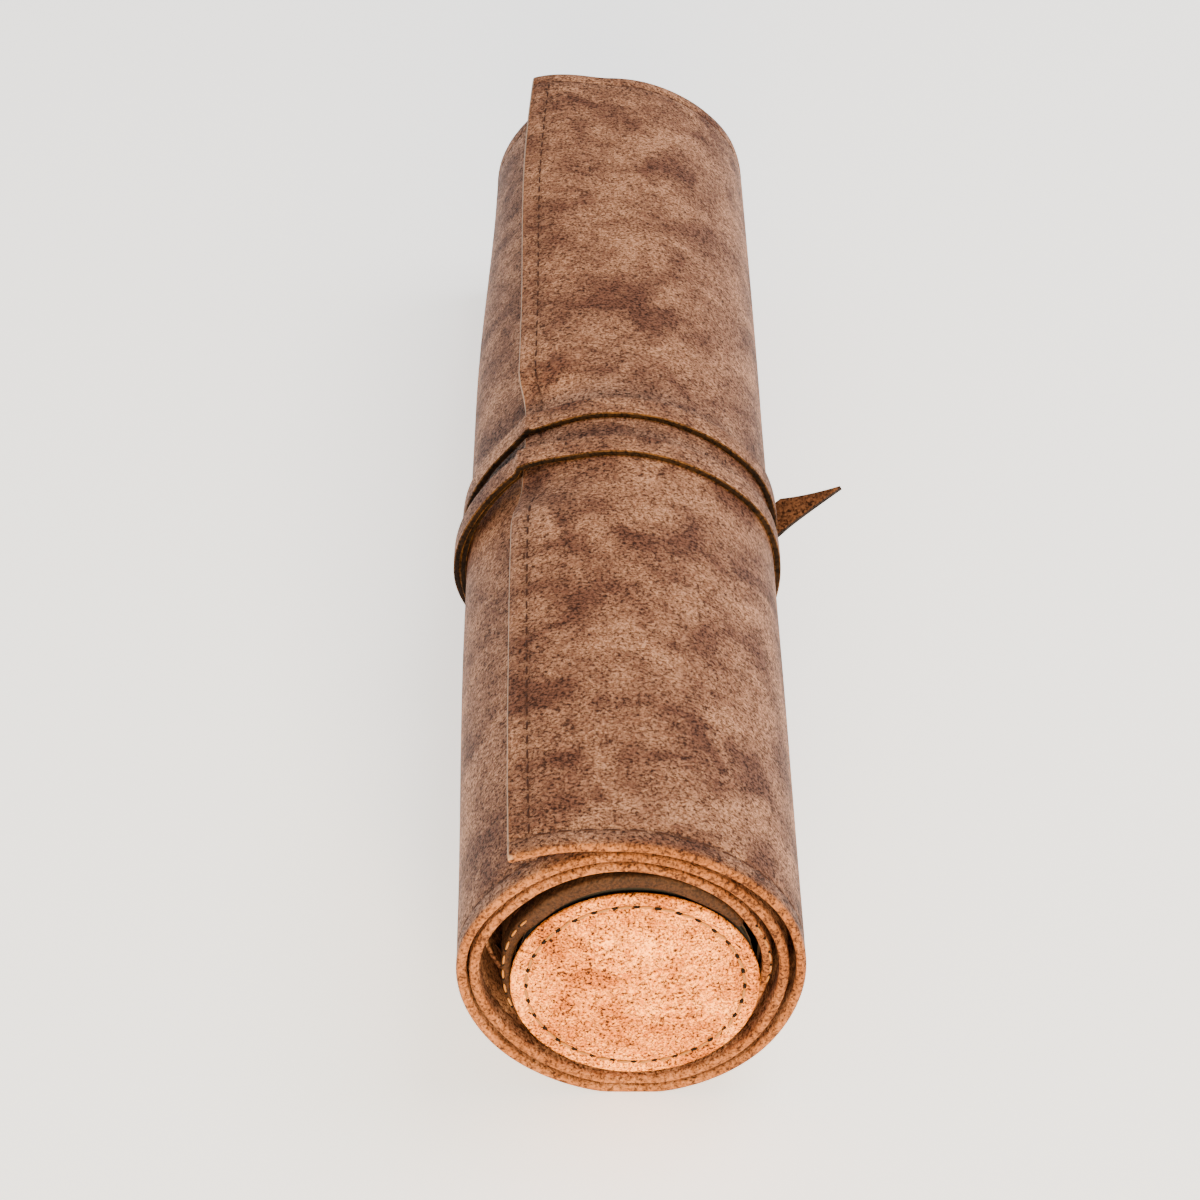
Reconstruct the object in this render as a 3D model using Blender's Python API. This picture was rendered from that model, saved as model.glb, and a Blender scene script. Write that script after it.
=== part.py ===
"""Roll-up leather pencil case: a zipped cylindrical pouch inside a spiral wrap, tied with a flat strap."""
import math

import bmesh
import bpy
from mathutils import Matrix, Vector

MM = 0.001

# Overall size
LENGTH = 203.0 * MM
FLAT_HEIGHT = 21.95 * MM      # roll axis above the ground
OUTER_RADIUS = 22.25 * MM     # outermost turn beside the resting flat
CENTRE_X = -4.50 * MM         # roll axis, so that the bounding box is centred on x = 0

# Wrap sheet: inner radius at each spiral angle (degrees, millimetres)
WRAP_START = 28.0
WRAP_END = 850.0
WRAP_RADII = (
    (28, 15.95), (42, 15.85), (60, 15.65), (78, 15.80), (101, 16.30), (117, 16.60), (131, 16.95),
    (146, 17.45), (158, 18.05), (170, 18.65), (184, 19.00), (196, 19.05), (215, 18.85), (240, 18.95),
    (270, 19.35), (315, 19.05), (341, 18.60), (366, 18.40), (386, 17.95), (402, 17.50), (420, 17.25),
    (438, 17.40), (461, 17.95), (477, 18.25), (491, 18.65), (506, 19.20), (518, 19.80), (530, 20.35),
    (544, 20.65), (575, 20.80), (600, 20.75), (630, 20.95), (675, 20.85), (701, 20.65), (721, 20.60),
    (741, 20.35), (750, 20.05), (763, 19.45), (780, 19.00), (796, 19.00), (815, 19.40), (823, 19.90),
    (835, 21.10), (847, 22.55), (850, 22.90),
)
WRAP_STEP = 6.0
SHEET = 1.30 * MM             # leather, glue line and lining together
LINING = 0.35 * MM
LEATHER = 0.65 * MM

# Shallow groove that the tightened strap presses into the underside
PRESS_DEPTH = 1.30 * MM
PRESS_FLAT_X = 9.0 * MM
PRESS_FADE_X = 17.3 * MM
PRESS_Y = (72.0 * MM, 81.0 * MM, 102.0 * MM, 111.0 * MM)

# The flap's free edge stands off the roll, less so where the strap holds it down
FLAP_DROP = 1.70 * MM
FLAP_DROP_ANGLES = (815.0, 850.0)

# Pouch
DRUM_RADII = (                # outside of the pouch wall, angle and millimetres from the roll axis
    (-30, 17.90), (-15, 17.80), (0, 17.70), (9, 17.50), (16, 16.75), (22, 15.85), (29, 15.40),
    (42, 15.25), (60, 15.10), (90, 15.00), (120, 15.15), (150, 15.60), (180, 16.40), (210, 17.50),
    (240, 18.30), (270, 18.75), (300, 18.40), (330, 17.90), (345, 17.80), (360, 17.70),
)
DRUM_WALL = 1.0 * MM
DRUM_LINING_DEPTH = 1.3 * MM
DRUM_STEPS = 45
DRUM_END = 1.7 * MM
BOARD_CENTRE = (0.5 * MM, -1.9 * MM)
BOARD_RADII = (14.9 * MM, 14.9 * MM)
PANEL_CENTRE = (0.4 * MM, -3.4 * MM)
PANEL_RADII = (15.8 * MM, 15.35 * MM)
PANEL_THICK = 1.2 * MM
PANEL_FRONT = 0.25 * MM
BOARD_THICK = 0.8 * MM
POCKET_ANGLES = (180.0, 216.0)
POCKET_Y = (9.0 * MM, 194.0 * MM)
POCKET_THICK = 0.4 * MM
CLEARANCE = 0.3 * MM

# Zip
ZIP_ANGLE = 165.0
ZIP_Y = (14.0 * MM, 189.0 * MM)
ZIP_SLOT_DEG = 11.0           # half width of the slot in the leather
ZIP_LINING_DEG = 26.0
TAPE_DEG = (4.6, 24.0)
TAPE_DEPTH = (1.3 * MM, 1.75 * MM)
TAPE_OVERRUN = 4.0 * MM
TEETH_DEG = (0.6, 3.6)
TOOTH_PITCH = 4.0 * MM
TOOTH_TOP = 0.45 * MM
TOOTH_ROOT = 0.80 * MM
TOOTH_BASE = 1.60 * MM
STOP_LENGTH = 2.0 * MM
SLIDER_SIZE = (5.2 * MM, 8.0 * MM, 0.9 * MM)
SLIDER_LIFT = 0.10 * MM
SLIDER_BACK = (4.4 * MM, 7.0 * MM, 0.7 * MM)
SLIDER_BACK_DEPTH = 2.2 * MM
SLIDER_Y = 182.0 * MM
PULL_SIZE = (3.4 * MM, 13.0 * MM, 0.5 * MM)
PULL_LIFT = 1.15 * MM

# Strap: total winding angle against distance of its centre line from the near end
STRAP_WIDTH = 4.4 * MM
STRAP_THICK = 0.95 * MM
STRAP_START = 131.6
STRAP_EXIT = 1068.0
STRAP_STEP = 6.0
STRAP_Y = (
    (131, 88.0), (150, 88.0), (235, 85.6), (300, 85.6), (360, 86.6), (520, 86.6), (600, 91.2),
    (650, 91.2), (715, 96.6), (880, 96.6), (960, 97.2), (1030, 97.6), (1068, 101.4),
)
STRAP_LEVELS = (
    (131, 0), (466, 0), (489, 1), (600, 1), (616, 0), (1068, 0),
)
FLAP_EDGE = 129.0
BRIDGE_END = 178.0            # the taut strap is clear of the roll from the flap's edge to here
ROOT_INSET = 0.35 * MM        # the sewn end starts inside the thickness of the flap's edge
TAIL_RISE = 30.0              # degrees above horizontal
TAIL_SLOPE = 0.36             # drift along the case per length of tail
TAIL_LENGTH = 14.0 * MM
TAIL_RUN = 1.8 * MM            # straight run along the roll before it bends away
TAIL_EASE = 3.6 * MM          # where the twist is complete
TIP_CUT = 5.6 * MM            # the end is cut off on a long slant
TAIL_TWIST = 34.0             # the far long side stands higher than the near one


def smooth(value):
    value = min(1.0, max(0.0, value))
    return value * value * (3.0 - 2.0 * value)


def table(points, at):
    """Smooth curve through control points, with finite-difference slopes."""
    xs = [p[0] for p in points]
    ys = [p[1] for p in points]
    if at <= xs[0]:
        return ys[0]
    if at >= xs[-1]:
        return ys[-1]
    k = max(i for i in range(len(xs) - 1) if xs[i] <= at)

    def slope(i):
        a, b = max(0, i - 1), min(len(xs) - 1, i + 1)
        return (ys[b] - ys[a]) / (xs[b] - xs[a])

    span = xs[k + 1] - xs[k]
    t = (at - xs[k]) / span
    t2, t3 = t * t, t * t * t
    return ((2 * t3 - 3 * t2 + 1) * ys[k] + (t3 - 2 * t2 + t) * span * slope(k)
            + (3 * t2 - 2 * t3) * ys[k + 1] + (t3 - t2) * span * slope(k + 1))


def ramp(points, at):
    """Eased steps between control points, flat where neighbours agree."""
    for (x0, y0), (x1, y1) in zip(points, points[1:]):
        if at <= x1:
            return y0 + (y1 - y0) * smooth((at - x0) / (x1 - x0))
    return points[-1][1]


def under_strap(y):
    """1 beneath the strap, easing to 0 on both sides of it."""
    a, b, c, d = PRESS_Y
    return smooth((y - a) / (b - a)) * (1.0 - smooth((y - c) / (d - c)))


def press(x, y):
    """Upward push of the tightened strap at a point of the underside."""
    across = 1.0 - smooth((abs(x) - PRESS_FLAT_X) / (PRESS_FADE_X - PRESS_FLAT_X))
    return PRESS_DEPTH * under_strap(y) * across


def place(x, z, y):
    """Section coordinates about the roll axis, and distance from the near end, to the world."""
    if z < 0.0:
        z += press(x, y)
    return Vector((x + CENTRE_X, y - LENGTH / 2, z + FLAT_HEIGHT))


def roll_point(angle, radius, y):
    a = math.radians(angle)
    x, z = radius * math.cos(a), radius * math.sin(a)
    z = max(z, -FLAT_HEIGHT + OUTER_RADIUS - radius)
    return place(x, z, y)


def wrap_radius(angle, y):
    start, end = FLAP_DROP_ANGLES
    drop = FLAP_DROP * smooth((angle - start) / (end - start)) * under_strap(y)
    return table(WRAP_RADII, angle) * MM - drop


def outer_surface(angle):
    """Outside radius of the finished roll at an angle, beneath the strap."""
    turned = (angle - 130.0) % 360.0 + 490.0
    return wrap_radius(turned, PRESS_Y[1]) + SHEET


def drum_section(angle, depth):
    a = math.radians(angle)
    radius = table(DRUM_RADII, angle % 360.0) * MM - depth
    return radius * math.cos(a), radius * math.sin(a)


def drum_point(angle, depth, y):
    x, z = drum_section(angle, depth)
    return place(x, z, y)


def spread(start, end, step):
    count = max(1, round((end - start) / step))
    return [start + (end - start) * i / count for i in range(count + 1)]


def body_stations(low, high):
    """Stations along the case, closer together where the strap presses in."""
    a, b, c, d = PRESS_Y
    inner = [a, (a + b) / 2, b, c, (c + d) / 2, d]
    return [low] + [y for y in inner if low + MM < y < high - MM] + [high]


MATERIALS = {
    "leather_brown": ((0.24, 0.11, 0.06), 0.62, 0.0),
    "leather_light": ((0.42, 0.19, 0.09), 0.58, 0.0),
    "lining_brown": ((0.10, 0.055, 0.035), 0.85, 0.0),
    "strap_brown": ((0.19, 0.10, 0.06), 0.65, 0.0),
    "board_dark": ((0.05, 0.035, 0.025), 0.9, 0.0),
    "tape_brown": ((0.08, 0.045, 0.03), 0.9, 0.0),
    "brass_zip": ((0.62, 0.45, 0.20), 0.35, 1.0),
}


def get_material(name):
    found = bpy.data.materials.get(name)
    if found:
        return found
    colour, roughness, metallic = MATERIALS[name]
    mat = bpy.data.materials.new(name)
    mat.use_nodes = True
    shader = mat.node_tree.nodes["Principled BSDF"]
    shader.inputs["Base Color"].default_value = (*colour, 1.0)
    shader.inputs["Roughness"].default_value = roughness
    shader.inputs["Metallic"].default_value = metallic
    return mat


def finish(name, bm, material, shade_smooth=True, parent=None):
    bmesh.ops.recalc_face_normals(bm, faces=bm.faces)
    if shade_smooth:
        for face in bm.faces:
            face.smooth = True
    mesh = bpy.data.meshes.new(name)
    bm.to_mesh(mesh)
    bm.free()
    obj = bpy.data.objects.new(name, mesh)
    bpy.context.scene.collection.objects.link(obj)
    # Each part has its own slot, so copies of a shared look keep the part's name.
    own = get_material(material).copy()
    own.name = name
    mesh.materials.append(own)
    if parent is not None:
        obj.parent = parent
        obj.matrix_parent_inverse = parent.matrix_world.inverted()
    return obj


def shell(us, vs, point, closed=False, keep=None):
    """Closed sheet solid over a grid: point(u, v, side) with side 0 inside and 1 outside."""
    bm = bmesh.new()
    rows = len(us)
    grid = {}

    def vert(i, j, side):
        key = (i % rows if closed else i, j, side)
        if key not in grid:
            grid[key] = bm.verts.new(point(us[key[0]], vs[j], side))
        return grid[key]

    cells_u = rows if closed else rows - 1
    cells_v = len(vs) - 1

    def used(i, j):
        if closed:
            i %= cells_u
        inside = 0 <= i < cells_u and 0 <= j < cells_v
        return inside and (keep is None or keep(i, j))

    for i in range(cells_u):
        for j in range(cells_v):
            if not used(i, j):
                continue
            corners = ((i, j), (i + 1, j), (i + 1, j + 1), (i, j + 1))
            for side in (0, 1):
                bm.faces.new([vert(a, b, side) for a, b in corners])
            borders = (((i, j), (i + 1, j), (i, j - 1)), ((i + 1, j), (i + 1, j + 1), (i + 1, j)),
                       ((i + 1, j + 1), (i, j + 1), (i, j + 1)), ((i, j + 1), (i, j), (i - 1, j)))
            for first, second, neighbour in borders:
                if not used(*neighbour):
                    bm.faces.new([vert(*first, 0), vert(*second, 0), vert(*second, 1), vert(*first, 1)])
    return bm


def build_wrap():
    angles = spread(WRAP_START, WRAP_END, WRAP_STEP)
    ys = body_stations(0.0, LENGTH)

    def leather(angle, y, side):
        return roll_point(angle, wrap_radius(angle, y) + (SHEET if side else SHEET - LEATHER), y)

    def lining(angle, y, side):
        return roll_point(angle, wrap_radius(angle, y) + (LINING if side else 0.0), y)

    finish("wrap_leather", shell(angles, ys, leather), "leather_brown")
    inset = [0.6 * MM] + ys[1:-1] + [LENGTH - 0.6 * MM]
    finish("wrap_lining", shell(angles, inset, lining), "lining_brown")

    def pocket(angle, y, side):
        radius = wrap_radius(angle, y) - CLEARANCE - (0.0 if side else POCKET_THICK)
        return roll_point(angle, radius, y)

    finish("pocket_panel", shell(spread(*POCKET_ANGLES, WRAP_STEP), body_stations(*POCKET_Y), pocket),
           "leather_brown")


def build_drum():
    step = 360.0 / DRUM_STEPS
    angles = [ZIP_ANGLE + step * i for i in range(DRUM_STEPS)]

    def slotted(half_width):
        """Angles that land exactly on both sides of the slot, going round from it."""
        first, last = ZIP_ANGLE + half_width, ZIP_ANGLE + 360.0 - half_width
        return spread(first, last, step) + [ZIP_ANGLE + 360.0]

    def wall(angle, y, side):
        return drum_point(angle, 0.0 if side else DRUM_WALL, y)

    def lining(angle, y, side):
        return drum_point(angle, DRUM_LINING_DEPTH + (0.0 if side else LINING), y)

    low, high = DRUM_END, LENGTH - DRUM_END
    for name, half_width, surface, inset, longer, material in (
            ("drum_wall", ZIP_SLOT_DEG, wall, 0.0, 0.0, "leather_brown"),
            ("drum_lining", ZIP_LINING_DEG, lining, 3.5 * MM, TAPE_OVERRUN + MM, "lining_brown")):
        us = slotted(half_width)
        slot = (ZIP_Y[0] - longer, ZIP_Y[1] + longer)
        ys = sorted(set(body_stations(low + inset, high - inset)) | set(slot))
        slot_cells = (len(us) - 2, len(us) - 1)

        def keep(i, j, ys=ys, slot_cells=slot_cells, slot=slot):
            return not (slot[0] <= ys[j] < slot[1] and i in slot_cells)

        finish(name, shell(us, ys, surface, closed=True, keep=keep), material)


def disc(name, centre, radii, y_front, y_back, crown, round_edge, material):
    """Elliptical panel across the case, crowned towards y_front, with a rounded rim."""
    cx, cz = centre
    sign = 1.0 if y_back > y_front else -1.0
    rings = [(1.0, y_back), (1.0, y_front + sign * (crown + round_edge))]
    for turn in (30.0, 60.0, 90.0):
        a = math.radians(turn)
        inset = round_edge * (1.0 - math.cos(a)) / radii[0]
        rings.append((1.0 - inset, y_front + sign * (crown + round_edge * (1.0 - math.sin(a)))))
    for share in (0.72, 0.38):
        rings.append((share, y_front + sign * crown * share * share))
    bm = bmesh.new()
    loops = []
    for scale, y in rings:
        loop = []
        for i in range(DRUM_STEPS):
            a = 2 * math.pi * i / DRUM_STEPS
            x = cx + radii[0] * scale * math.cos(a)
            z = cz + radii[1] * scale * math.sin(a)
            loop.append(bm.verts.new((x + CENTRE_X, y - LENGTH / 2, z + FLAT_HEIGHT)))
        loops.append(loop)
    for first, second in zip(loops, loops[1:]):
        for i in range(DRUM_STEPS):
            k = (i + 1) % DRUM_STEPS
            bm.faces.new((first[i], first[k], second[k], second[i]))
    bm.faces.new(loops[0])
    middle = bm.verts.new((cx + CENTRE_X, y_front - LENGTH / 2, cz + FLAT_HEIGHT))
    for i in range(DRUM_STEPS):
        bm.faces.new((loops[-1][i], loops[-1][(i + 1) % DRUM_STEPS], middle))
    return finish(name, bm, material)


def build_ends():
    for label, mirror in (("near", lambda y: y), ("far", lambda y: LENGTH - y)):
        disc("end_panel_" + label, PANEL_CENTRE, PANEL_RADII, mirror(PANEL_FRONT),
             mirror(PANEL_FRONT + PANEL_THICK), 0.35 * MM, 0.45 * MM, "leather_light")
        start = DRUM_END + 0.2 * MM
        disc("end_board_" + label, BOARD_CENTRE, BOARD_RADII, mirror(start), mirror(start + BOARD_THICK),
             0.0, 0.1 * MM, "board_dark")
        start += BOARD_THICK + CLEARANCE
        disc("end_lining_" + label, BOARD_CENTRE, BOARD_RADII, mirror(start), mirror(start + LINING),
             0.0, 0.1 * MM, "lining_brown")


def zip_axes():
    """Surface point of the closed zip line, its outward normal and its tangent, in section coordinates."""
    x, z = drum_section(ZIP_ANGLE, 0.0)
    before, after = drum_section(ZIP_ANGLE - 5.0, 0.0), drum_section(ZIP_ANGLE + 5.0, 0.0)
    tangent = Vector((after[0] - before[0], 0.0, after[1] - before[1])).normalized()
    normal = Vector((tangent.z, 0.0, -tangent.x))
    return Vector((x + CENTRE_X, 0.0, z + FLAT_HEIGHT)), normal, tangent


def zip_block(name, size, y, lift, material, edge, parent=None):
    """Bevelled block across the zip, its underside lift above the pouch surface."""
    origin, normal, tangent = zip_axes()
    bm = bmesh.new()
    bmesh.ops.create_cube(bm, size=1.0)
    bmesh.ops.scale(bm, vec=size, verts=bm.verts)
    bmesh.ops.bevel(bm, geom=bm.edges[:], offset=edge, segments=2, affect="EDGES", profile=0.5,
                    clamp_overlap=True, material=-1)
    turn = Matrix((tangent, (0.0, 1.0, 0.0), normal)).transposed()
    centre = origin + normal * (lift + size[2] / 2) + Vector((0.0, y - LENGTH / 2, 0.0))
    bmesh.ops.transform(bm, matrix=Matrix.Translation(centre) @ turn.to_4x4(), verts=bm.verts)
    return finish(name, bm, material, shade_smooth=False, parent=parent)


def build_zip():
    for label, sign in (("a", 1.0), ("b", -1.0)):
        tape_angles = sorted(ZIP_ANGLE + sign * deg for deg in spread(*TAPE_DEG, 6.5))
        tape_ys = body_stations(ZIP_Y[0] - TAPE_OVERRUN, ZIP_Y[1] + TAPE_OVERRUN)

        def tape(angle, y, side):
            return drum_point(angle, TAPE_DEPTH[0] if side else TAPE_DEPTH[1], y)

        finish("zip_tape_" + label, shell(tape_angles, tape_ys, tape), "tape_brown")

        tops = {}
        ys = []
        first, last = ZIP_Y[0] + STOP_LENGTH + CLEARANCE, ZIP_Y[1] - STOP_LENGTH - CLEARANCE
        count = int((last - first) / TOOTH_PITCH)
        for k in range(count):
            y0 = first + k * TOOTH_PITCH
            for offset, depth in ((0.0, TOOTH_ROOT), (0.2, TOOTH_TOP), (0.55, TOOTH_TOP), (0.75, TOOTH_ROOT)):
                ys.append(y0 + offset * TOOTH_PITCH)
                tops[ys[-1]] = depth
        ys.append(last)
        tops[last] = TOOTH_ROOT

        def teeth(angle, y, side, tops=tops):
            return drum_point(angle, tops[y] if side else TOOTH_BASE, y)

        tooth_angles = sorted(ZIP_ANGLE + sign * deg for deg in TEETH_DEG)
        finish("zip_teeth_" + label, shell(tooth_angles, ys, teeth), "brass_zip", shade_smooth=False)

    stop = (3.2 * MM, STOP_LENGTH, 0.9 * MM)
    zip_block("zip_stop_near", stop, ZIP_Y[0] + STOP_LENGTH / 2, -1.1 * MM, "brass_zip", 0.2 * MM)
    zip_block("zip_stop_far", stop, ZIP_Y[1] - STOP_LENGTH / 2, -1.1 * MM, "brass_zip", 0.2 * MM)
    slider = zip_block("zip_slider", SLIDER_SIZE, SLIDER_Y, SLIDER_LIFT, "brass_zip", 0.35 * MM)
    zip_block("zip_slider_back", SLIDER_BACK, SLIDER_Y, -SLIDER_BACK_DEPTH - SLIDER_BACK[2],
              "brass_zip", 0.2 * MM, slider)
    zip_block("zip_pull", PULL_SIZE, SLIDER_Y - PULL_SIZE[1] / 2 + 1.5 * MM, PULL_LIFT, "brass_zip",
              0.25 * MM, slider)


def strap_radius(total):
    """Inner radius of the wound strap: on the roll, over its own first pass, or bridging off the flap."""
    level = ramp(STRAP_LEVELS, total) * (STRAP_THICK + CLEARANCE)
    angle = total % 360.0
    rest = outer_surface(angle) + CLEARANCE + level
    on_root = total < 200.0
    corner = wrap_radius(WRAP_END, PRESS_Y[1]) + (ROOT_INSET if on_root else SHEET + CLEARANCE)
    base = outer_surface(BRIDGE_END) + CLEARANCE + level
    if FLAP_EDGE - 1.0 <= angle < BRIDGE_END:
        reach = math.degrees(math.acos(min(1.0, base / corner)))
        if angle < FLAP_EDGE + reach:
            return base / math.cos(math.radians(FLAP_EDGE + reach - angle))
        return max(rest, base)
    return rest


def ribbon(rows, thickness):
    """Flat strip through rows of (inner point, outer direction, width direction, low reach, high reach)."""
    bm = bmesh.new()
    loops = []
    for centre, normal, across, low, high in rows:
        inner = (centre + across * low, centre + across * high)
        outer = tuple(p + normal * thickness for p in inner)
        loops.append([bm.verts.new(p) for p in (inner[0], inner[1], outer[1], outer[0])])
    for first, second in zip(loops, loops[1:]):
        for i in range(4):
            k = (i + 1) % 4
            bm.faces.new((first[i], first[k], second[k], second[i]))
    bm.faces.new(loops[0])
    bm.faces.new(loops[-1])
    return bm


def build_strap():
    breaks = (STRAP_START, FLAP_EDGE + 360.0, FLAP_EDGE + 720.0, STRAP_EXIT - 2.0)
    angles = [breaks[0]]
    for low, high in zip(breaks, breaks[1:]):
        angles += spread(low, high, STRAP_STEP)[1:]

    def surface(total, v, side):
        y = ramp(STRAP_Y, total) * MM + v * STRAP_WIDTH / 2
        return roll_point(total, strap_radius(total) + (STRAP_THICK if side else 0.0), y)

    finish("strap", shell(angles, (-1.0, 1.0), surface), "strap_brown", shade_smooth=False)

    exit_radius = strap_radius(STRAP_EXIT)
    start = roll_point(STRAP_EXIT, exit_radius, ramp(STRAP_Y, STRAP_EXIT) * MM)
    rise = math.radians(TAIL_RISE)
    along = Vector((math.cos(rise), TAIL_SLOPE, math.sin(rise))).normalized()
    flat = Vector((math.sin(rise), 0.0, -math.cos(rise)))
    normal = Matrix.Rotation(math.radians(TAIL_TWIST), 3, along) @ flat
    across = along.cross(normal).normalized()
    a = math.radians(STRAP_EXIT)
    tangent = Vector((-math.sin(a), TAIL_SLOPE, math.cos(a))).normalized()
    outward = Vector((math.cos(a), 0.0, math.sin(a)))
    bend = start + tangent * TAIL_RUN
    far = bend + along * (TAIL_LENGTH - TAIL_RUN)
    level = Vector((0.0, 1.0, 0.0))
    half = STRAP_WIDTH / 2
    # Each row: a point of the inner face, its outer direction, and the reach to both long sides.
    rows = [(start, outward, level, -half, half),
            (start + tangent * TAIL_RUN * 0.5, (outward + flat * 0.4).normalized(), level, -half, half),
            (bend + along * TAIL_RUN * 0.5, flat, along.cross(flat).normalized(), -half, half),
            (bend + along * TAIL_EASE, normal, across, -half, half),
            (far - along * TIP_CUT, normal, across, -half, half),
            (far - along * TIP_CUT * 0.5, normal, across, -half, 0.0),
            (far, normal, across, -half, -half * 0.85)]
    hinge = bpy.data.objects.new("tail_axis", None)
    hinge.location = start
    bpy.context.scene.collection.objects.link(hinge)
    bpy.context.view_layer.update()
    finish("strap_tail", ribbon(rows, STRAP_THICK), "strap_brown", shade_smooth=False, parent=hinge)


def report():
    """Print the size and the joint positions that the case turns and slides on."""
    corners = [o.matrix_world @ v.co for o in bpy.data.objects if o.type == "MESH" for v in o.data.vertices]
    low = [min(c[i] for c in corners) for i in range(3)]
    high = [max(c[i] for c in corners) for i in range(3)]
    print("box low", [round(v, 5) for v in low], "high", [round(v, 5) for v in high])
    print("tail_axis", [round(v, 5) for v in bpy.data.objects["tail_axis"].matrix_world.translation])


def main():
    for obj in list(bpy.data.objects):
        bpy.data.objects.remove(obj, do_unlink=True)
    build_wrap()
    build_drum()
    build_ends()
    build_zip()
    build_strap()
    report()


main()
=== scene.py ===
import math
import random

import bmesh
import bpy
import numpy as np
from mathutils import Euler, Matrix, Vector, noise


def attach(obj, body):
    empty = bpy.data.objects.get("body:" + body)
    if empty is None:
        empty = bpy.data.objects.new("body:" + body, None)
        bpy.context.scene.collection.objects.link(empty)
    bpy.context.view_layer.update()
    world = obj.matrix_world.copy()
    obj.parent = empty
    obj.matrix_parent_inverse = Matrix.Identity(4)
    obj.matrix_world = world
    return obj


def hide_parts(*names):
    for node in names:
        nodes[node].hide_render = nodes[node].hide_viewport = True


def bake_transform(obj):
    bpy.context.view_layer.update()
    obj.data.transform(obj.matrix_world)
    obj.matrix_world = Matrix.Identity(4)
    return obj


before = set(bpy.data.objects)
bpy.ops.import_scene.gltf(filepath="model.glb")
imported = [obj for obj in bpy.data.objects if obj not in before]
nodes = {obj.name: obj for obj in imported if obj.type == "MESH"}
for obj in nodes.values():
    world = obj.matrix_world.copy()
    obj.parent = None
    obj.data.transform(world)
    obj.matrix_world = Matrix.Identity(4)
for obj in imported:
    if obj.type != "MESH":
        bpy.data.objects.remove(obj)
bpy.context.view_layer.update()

mm = 0.001
scene = bpy.context.scene

roll = {
    "length": 203 * mm,
    "axisX": -4.50 * mm,
    "axisZ": 21.95 * mm,
    "outer": 22.25 * mm,
    "sheet": 1.30 * mm,
    "tongueEnd": -334.0,        # rounded end of the sheet, lying over the top of the pouch
    "flapEnd": 850.0,
    "flapDrop": 1.70 * mm,      # the strap holds the flap's lifted edge down
    "dropFrom": 815.0,
    "farLift": 1.9 * mm,
    "wobble": 0.10 * mm,
    "swell": ((0, 0.2), (70, 1.45), (130, 1.45), (203, -0.3)),   # place along, height, in millimetres
}
innerRadii = [                  # spiral angle, inner radius in millimetres, from the tongue to the flap
    (-334, 14.30), (-318, 14.05), (-300, 13.80), (-270, 13.65), (-240, 13.80), (-210, 14.30), (-180, 15.10),
    (-150, 16.20), (-120, 17.00), (-90, 17.45), (-60, 17.10), (-30, 16.60), (-15, 16.42), (0, 16.38),
    (14, 16.25), (28, 15.98), (42, 15.85), (60, 15.65), (78, 15.80), (101, 16.30), (117, 16.60),
    (131, 16.95), (146, 17.45), (158, 18.05), (170, 18.65), (184, 19.00), (196, 19.05), (215, 18.85),
    (240, 18.95), (270, 19.35), (315, 19.05), (341, 18.60), (366, 18.40), (386, 17.95), (402, 17.50),
    (420, 17.25), (438, 17.40), (461, 17.95), (477, 18.25), (491, 18.65), (506, 19.20), (518, 19.80),
    (530, 20.35), (544, 20.65), (575, 20.80), (600, 20.75), (630, 20.95), (675, 20.85), (701, 20.65),
    (721, 20.60), (741, 20.35), (750, 20.05), (763, 19.45), (780, 19.00), (796, 19.00), (815, 19.40),
    (823, 19.90), (835, 21.10), (847, 22.55), (850, 22.90)]
wallRecess = [                  # how far the pouch's own edge stands back from the wrap's, in millimetres
    (-334, 0.9), (-312, 0.6), (-218, 0.6), (-192, 1.7), (-16, 1.7), (8, 0.25), (28, 0.0), (850, 0.0)]
pouch = {"x": 0.4 * mm, "z": -3.4 * mm, "discWide": 15.8 * mm, "discTall": 15.35 * mm}
press = {"depth": 1.30 * mm, "flatX": 9 * mm, "fadeX": 17.3 * mm,
         "along": (72 * mm, 81 * mm, 102 * mm, 111 * mm)}


def smooth(v):
    v = min(1.0, max(0.0, v))
    return v * v * (3 - 2 * v)


def curveThrough(points, at):   # smooth curve through control points
    xs = [p[0] for p in points]
    ys = [p[1] for p in points]
    if at <= xs[0]:
        return ys[0]
    if at >= xs[-1]:
        return ys[-1]
    k = max(i for i in range(len(xs) - 1) if xs[i] <= at)

    def slope(i):
        a, b = max(0, i - 1), min(len(xs) - 1, i + 1)
        return (ys[b] - ys[a]) / (xs[b] - xs[a])

    span = xs[k + 1] - xs[k]
    t = (at - xs[k]) / span
    t2, t3 = t * t, t * t * t
    return ((2 * t3 - 3 * t2 + 1) * ys[k] + (t3 - 2 * t2 + t) * span * slope(k)
            + (3 * t2 - 2 * t3) * ys[k + 1] + (t3 - t2) * span * slope(k + 1))


def steps(points, at):          # eased steps, flat where neighbours agree
    for (x0, y0), (x1, y1) in zip(points, points[1:]):
        if at <= x1:
            return y0 + (y1 - y0) * smooth((at - x0) / (x1 - x0))
    return points[-1][1]


radiusAngles = np.arange(roll["tongueEnd"], roll["flapEnd"] + 0.5, 0.5)
radiusTable = np.array([curveThrough(innerRadii, a) * mm for a in radiusAngles])
recessTable = np.array([steps(wallRecess, a) * mm for a in radiusAngles])


def innerRadius(angle):         # inner face of the whole sheet, tongue to flap
    return float(np.interp(angle, radiusAngles, radiusTable))


def edgeRecess(angle):
    return float(np.interp(angle, radiusAngles, recessTable))


def underStrap(y):              # 1 beneath the strap, easing to 0 on both sides of it
    a, b, c, d = press["along"]
    return smooth((y - a) / (b - a)) * (1 - smooth((y - c) / (d - c)))


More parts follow.
